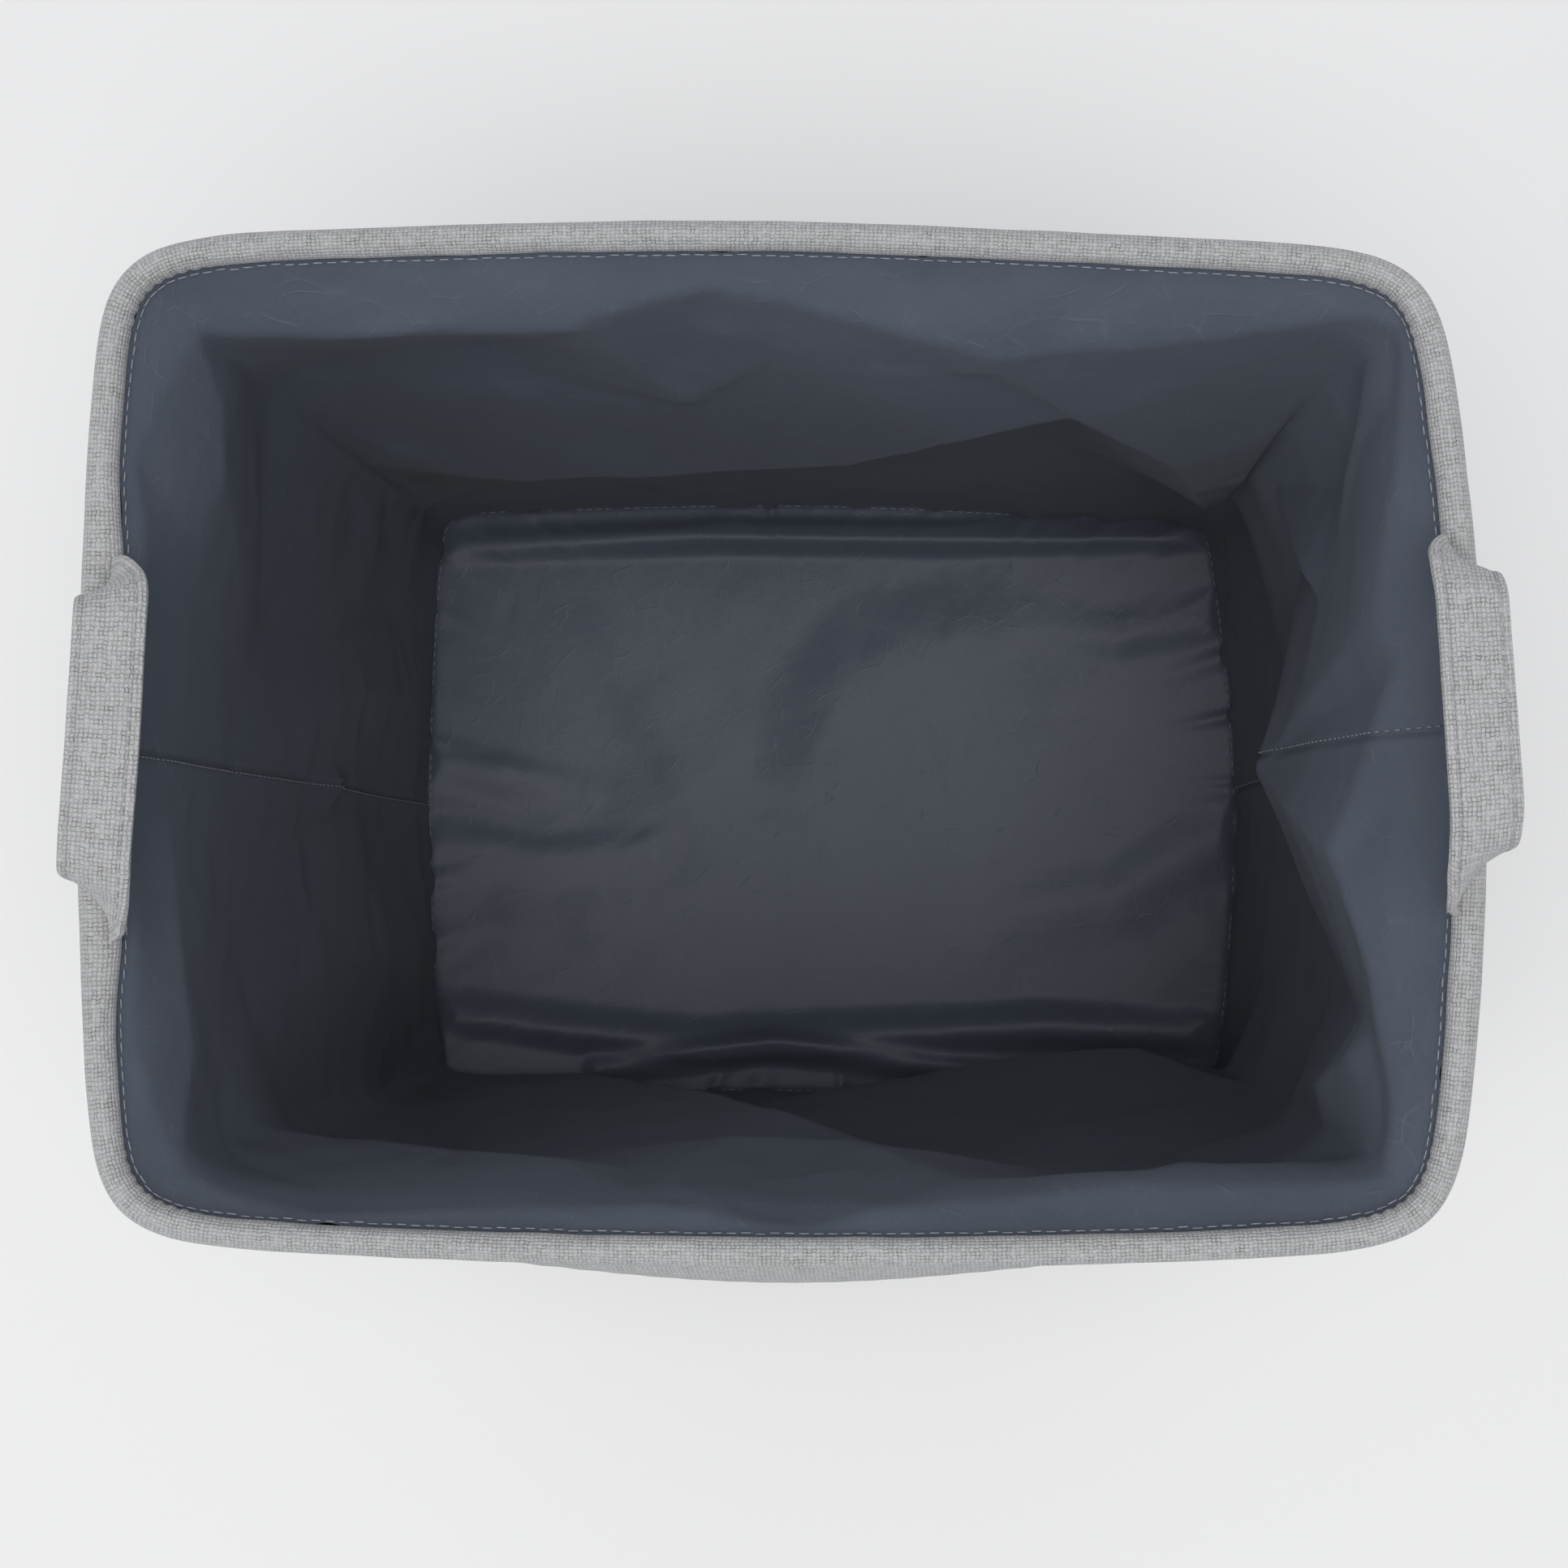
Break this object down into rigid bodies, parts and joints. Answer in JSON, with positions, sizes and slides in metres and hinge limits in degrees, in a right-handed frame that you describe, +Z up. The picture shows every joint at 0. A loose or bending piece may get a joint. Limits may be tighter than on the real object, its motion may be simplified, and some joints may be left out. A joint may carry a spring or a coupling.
{
  "type": "laundry hamper",
  "caption": "Open-topped rectangular fabric laundry hamper: lined soft walls on a flat base, a wired rim and two strap handles; it folds flat.",
  "frame": {"origin": "middle of the underside, where the hamper stands on the floor", "axes": "+Z up, +X along the long side to the viewer's right when the label faces them, -Y towards the label side"},
  "size_m": [0.4496, 0.3615, 0.6217],
  "materials": {
    "linen": "matte",
    "lining": "satin",
    "foam": "matte",
    "board": "matte",
    "binding": "matte",
    "wire": "satin",
    "webbing": "matte",
    "label": "satin"
  },
  "bodies": {
    "base": {"base_cover": "linen", "base_board": "board", "lining_floor": "lining", "bottom_seam_binding": "binding", "cover_front": "linen", "cover_back": "linen", "side_seam_tape_left": "binding", "side_seam_tape_right": "binding", "stiffener_front": "foam", "stiffener_back": "foam", "stiffener_left": "foam", "stiffener_right": "foam", "lining_front": "lining", "lining_back": "lining", "front_label": "label"},
    "rim": {"rim_hem": "linen", "rim_wire": "wire", "rim_wire_ferrule": "wire", "handle_left_end_front": "linen", "handle_left_end_back": "linen", "handle_right_end_front": "linen", "handle_right_end_back": "linen"},
    "handle_left": {"handle_left_strap": "linen", "handle_left_core": "webbing"},
    "handle_right": {"handle_right_strap": "linen", "handle_right_core": "webbing"}
  },
  "joints": [
    {"name": "collapse", "type": "slide", "parent": "base", "child": "rim", "axis": [0, 0, 1], "range_m": [-0.48, 0], "deforming": ["cover_front", "cover_back", "side_seam_tape_left", "side_seam_tape_right", "stiffener_front", "stiffener_back", "stiffener_left", "stiffener_right", "lining_front", "lining_back", "front_label"]},
    {"name": "left_handle_swing", "type": "hinge", "parent": "rim", "child": "handle_left", "pos_m": [-0.20524, -0.004, 0.583], "axis": [-0.0026, 1, 0], "range_deg": [-80, 72]},
    {"name": "right_handle_swing", "type": "hinge", "parent": "rim", "child": "handle_right", "pos_m": [0.2042, 0.004, 0.583], "axis": [-0.0176, 0.9998, 0], "range_deg": [-85, 68]}
  ]
}
